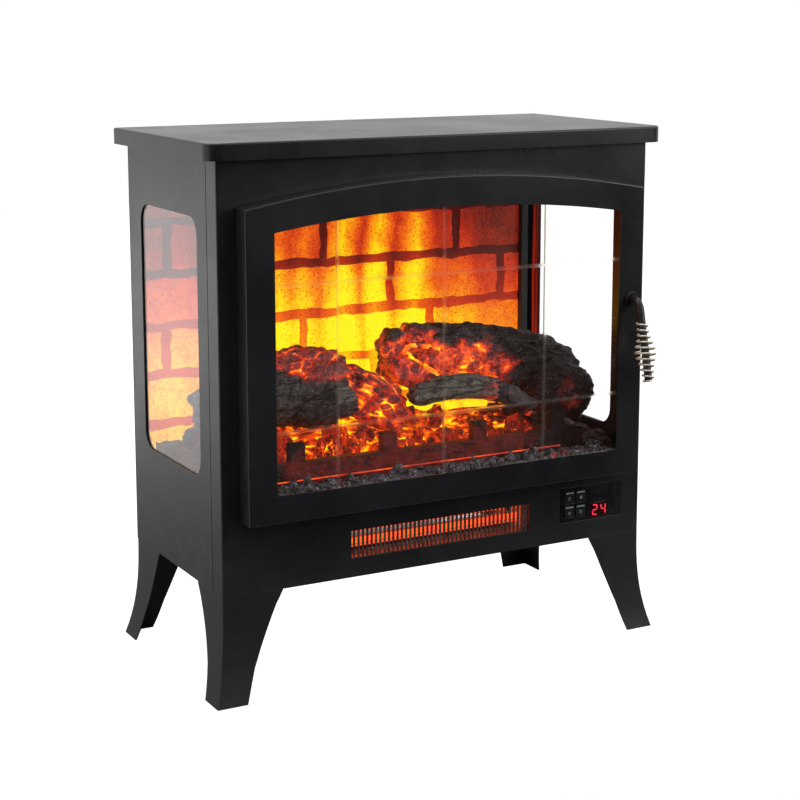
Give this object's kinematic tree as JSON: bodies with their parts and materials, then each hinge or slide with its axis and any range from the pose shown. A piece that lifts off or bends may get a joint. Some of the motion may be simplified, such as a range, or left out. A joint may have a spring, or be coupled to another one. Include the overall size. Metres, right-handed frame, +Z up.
{
  "type": "electric fireplace stove",
  "caption": "Free-standing electric stove heater: black steel cabinet on flared legs, glazed on three sides, arched door, log set with flame screen, slotted heater outlet.",
  "frame": {"origin": "on the floor, under the middle of the overall box", "axes": "+Z up, front and door towards -Y, +X to the right seen from the front"},
  "size_m": [0.61, 0.3673, 0.648],
  "materials": {
    "cabinet_black": "satin black powder coat",
    "inner_black": "satin black paint",
    "clear_glass": "clear tempered glass",
    "handle_black": "satin black bar",
    "grip_nickel": "bright nickel-plated wire",
    "zinc_steel": "zinc-plated",
    "motor_steel": "plain",
    "reflector": "polished",
    "quartz": "glowing quartz",
    "ceramic_white": "matt",
    "fascia_gloss": "gloss",
    "button_black": "satin",
    "display_red": "lit red digits",
    "board_green": "circuit board",
    "board_white": "circuit board",
    "wheel_grey": "moulded",
    "gland_black": "matt",
    "catch_brown": "moulded",
    "screen_brick": "translucent, brick pattern, lit from behind",
    "bark_black": "painted moulded resin",
    "bark_glowing": "painted moulded resin, lit from inside",
    "bark_grey": "painted moulded resin",
    "ember": "translucent resin, lit from below",
    "ash_grey": "painted moulded resin",
    "grate_iron": "rough"
  },
  "bodies": {
    "cabinet": {"top_cover": "cabinet_black", "front_panel": "cabinet_black", "side_panel_left": "cabinet_black", "side_panel_right": "cabinet_black", "rear_panel": "cabinet_black", "base_plate": "cabinet_black", "chamber_floor": "cabinet_black", "leg_front_left": "cabinet_black", "leg_front_right": "cabinet_black", "leg_rear_left": "cabinet_black", "leg_rear_right": "cabinet_black", "wire_channel": "inner_black", "outlet_grille": "inner_black", "side_glass_frame_left": "inner_black", "side_glass_frame_right": "inner_black", "side_glass_left": "clear_glass", "side_glass_right": "clear_glass", "hinge_bracket_upper": "zinc_steel", "hinge_bracket_lower": "zinc_steel", "heater_duct": "zinc_steel", "blower_housing": "zinc_steel", "leg_bolt_front_left": "zinc_steel", "leg_bolt_front_right": "zinc_steel", "leg_bolt_rear_left": "zinc_steel", "leg_bolt_rear_right": "zinc_steel", "blower_motor": "motor_steel", "flicker_motor": "motor_steel", "heater_reflector": "reflector", "quartz_tube_upper": "quartz", "quartz_tube_lower": "quartz", "tube_holder_left": "ceramic_white", "tube_holder_right": "ceramic_white", "control_fascia": "fascia_gloss", "digit_display": "display_red", "control_board": "board_green", "flame_led_board": "board_white", "cord_gland": "gland_black", "magnet_catch": "catch_brown", "flame_screen": "screen_brick", "log_left": "bark_black", "log_split": "bark_glowing", "log_branch": "bark_grey", "ember_lump": "ember", "ember_bed": "ember", "ash_strip": "ash_grey", "fire_grate": "grate_iron"},
    "door": {"door_frame": "cabinet_black", "door_glass": "clear_glass", "glass_retainer": "inner_black", "hinge_pin_upper": "zinc_steel", "hinge_pin_lower": "zinc_steel"},
    "handle": {"handle_rod": "handle_black", "handle_grip": "grip_nickel", "handle_washer": "inner_black"},
    "power_button": {"button_power": "button_black"},
    "flame_button": {"button_flame": "button_black"},
    "heat_button": {"button_heat": "button_black"},
    "timer_button": {"button_timer": "button_black"},
    "blower": {"blower_wheel": "wheel_grey"},
    "flicker": {"flicker_rod": "zinc_steel"}
  },
  "joints": [
    {"name": "door_hinge", "type": "hinge", "parent": "cabinet", "child": "door", "pos_m": [-0.261, -0.1208, 0.4], "axis": [0, 0, -1], "range_deg": [0, 110]},
    {"name": "handle_turn", "type": "hinge", "parent": "door", "child": "handle", "pos_m": [0.2505, -0.136, 0.437], "axis": [0, -1, 0], "range_deg": [0, 90]},
    {"name": "power_press", "type": "slide", "parent": "cabinet", "child": "power_button", "axis": [0, 1, 0], "range_m": [0, 0.001], "stiffness_N_per_m": 400},
    {"name": "flame_press", "type": "slide", "parent": "cabinet", "child": "flame_button", "axis": [0, 1, 0], "range_m": [0, 0.001], "stiffness_N_per_m": 400},
    {"name": "heat_press", "type": "slide", "parent": "cabinet", "child": "heat_button", "axis": [0, 1, 0], "range_m": [0, 0.001], "stiffness_N_per_m": 400},
    {"name": "timer_press", "type": "slide", "parent": "cabinet", "child": "timer_button", "axis": [0, 1, 0], "range_m": [0, 0.001], "stiffness_N_per_m": 400},
    {"name": "blower_spin", "type": "hinge", "parent": "cabinet", "child": "blower", "pos_m": [0, -0.0023, 0.172], "axis": [1, 0, 0], "continuous": true},
    {"name": "flicker_spin", "type": "hinge", "parent": "cabinet", "child": "flicker", "pos_m": [0, 0.1482, 0.285], "axis": [1, 0, 0], "continuous": true}
  ]
}
